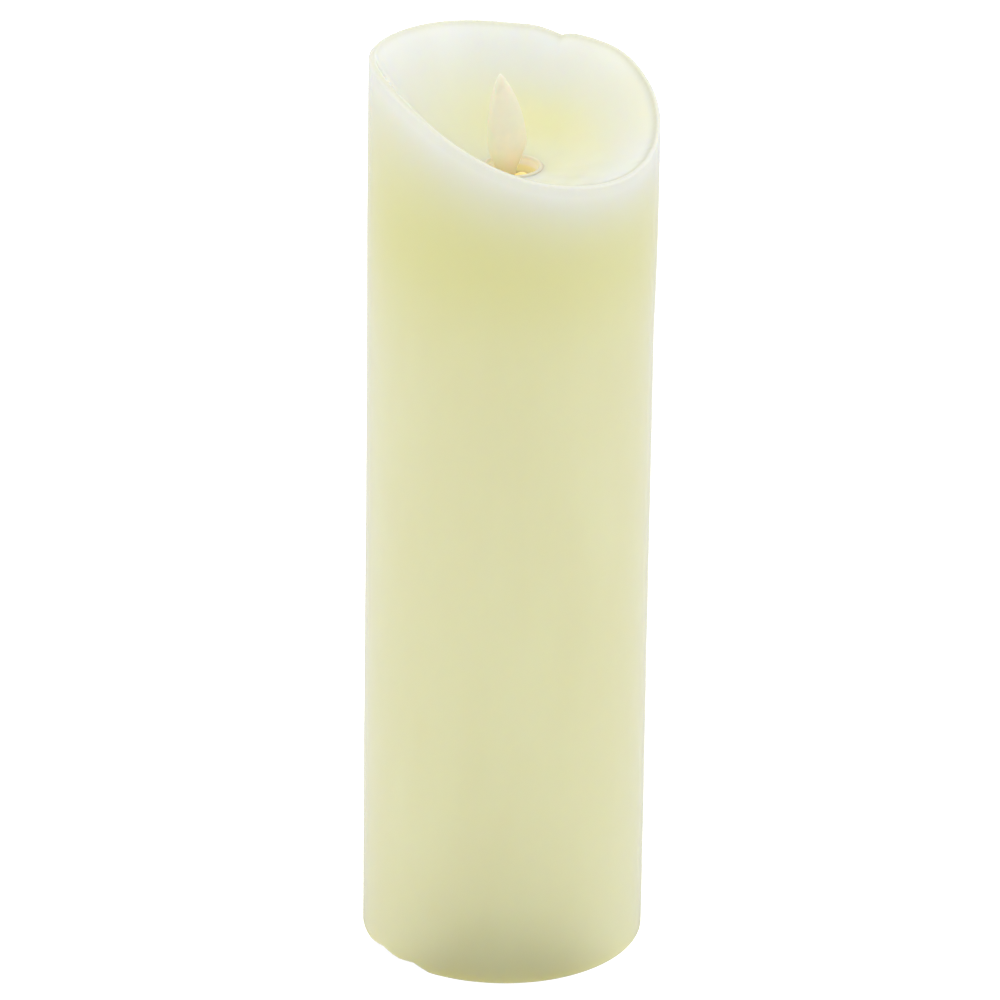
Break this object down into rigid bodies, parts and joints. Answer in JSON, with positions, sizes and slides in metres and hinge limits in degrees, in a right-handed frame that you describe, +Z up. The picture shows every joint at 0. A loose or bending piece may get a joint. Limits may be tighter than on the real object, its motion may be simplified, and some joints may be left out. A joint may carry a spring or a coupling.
{
  "type": "flameless led candle",
  "caption": "Ivory wax pillar candle with a sloping melted bowl, a swaying plastic flame blade lit from below, and a battery bay behind a hinged door in its base.",
  "frame": {"origin": "centre of the resting face, on the pillar's axis", "axes": "+Z up along the pillar, -Y towards the front, +X to the front's right; the blade and the rim's low side face 50 degrees clockwise from +X, seen from above"},
  "size_m": [0.0762, 0.0762, 0.2539],
  "materials": {
    "wax": "satin",
    "ivory_plastic": "satin",
    "flame_plastic": "satin",
    "magnet_steel": "polished",
    "steel": "satin",
    "white_plastic": "satin",
    "amber_lens": "gloss",
    "copper": "satin",
    "green_board": "satin",
    "chip_black": "matte",
    "capacitor_can": "satin",
    "black_plastic": "matte",
    "cell_jacket": "satin",
    "red_insulation": "satin",
    "black_insulation": "satin",
    "yellow_insulation": "satin",
    "rubber": "matte"
  },
  "bodies": {
    "candle": {"wax_shell": "wax", "core_tube": "ivory_plastic", "mouth_ring": "ivory_plastic", "pivot_wire": "steel", "chamber_front": "white_plastic", "chamber_rear": "white_plastic", "shell_screws": "steel", "unit_screws": "steel", "led_dome": "amber_lens", "led_leads": "steel", "coil_bobbin": "white_plastic", "coil_winding": "copper", "coil_leads": "copper", "driver_board": "green_board", "board_screws": "steel", "controller_chip": "chip_black", "drive_transistor": "chip_black", "board_capacitor": "capacitor_can", "board_resistors": "chip_black", "battery_box": "black_plastic", "battery_1": "cell_jacket", "battery_2": "cell_jacket", "contact_plate_pos": "steel", "contact_spring_neg": "steel", "wire_positive": "red_insulation", "wire_negative": "black_insulation", "wires_switch": "yellow_insulation", "base_plate": "black_plastic", "base_screws": "steel", "foot_pads": "rubber", "hinge_pin": "steel", "switch_body": "black_plastic", "switch_board": "green_board"},
    "flame": {"flame": "flame_plastic", "flame_magnet": "magnet_steel"},
    "switch_knob": {"switch_knob": "black_plastic"},
    "battery_door": {"battery_door": "black_plastic", "door_strap": "steel", "door_spring": "steel"}
  },
  "joints": [
    {"name": "flame_swing", "type": "hinge", "parent": "candle", "child": "flame", "pos_m": [-0.00148, 0.00176, 0.209], "axis": [0.6428, -0.766, 0], "range_deg": [-5, 5]},
    {"name": "door_hinge", "type": "hinge", "parent": "candle", "child": "battery_door", "pos_m": [0, -0.016, 0.003], "axis": [-1, 0, 0], "range_deg": [0, 110]},
    {"name": "switch_slide", "type": "slide", "parent": "candle", "child": "switch_knob", "axis": [1, 0, 0], "range_m": [-0.002, 0.002]}
  ]
}
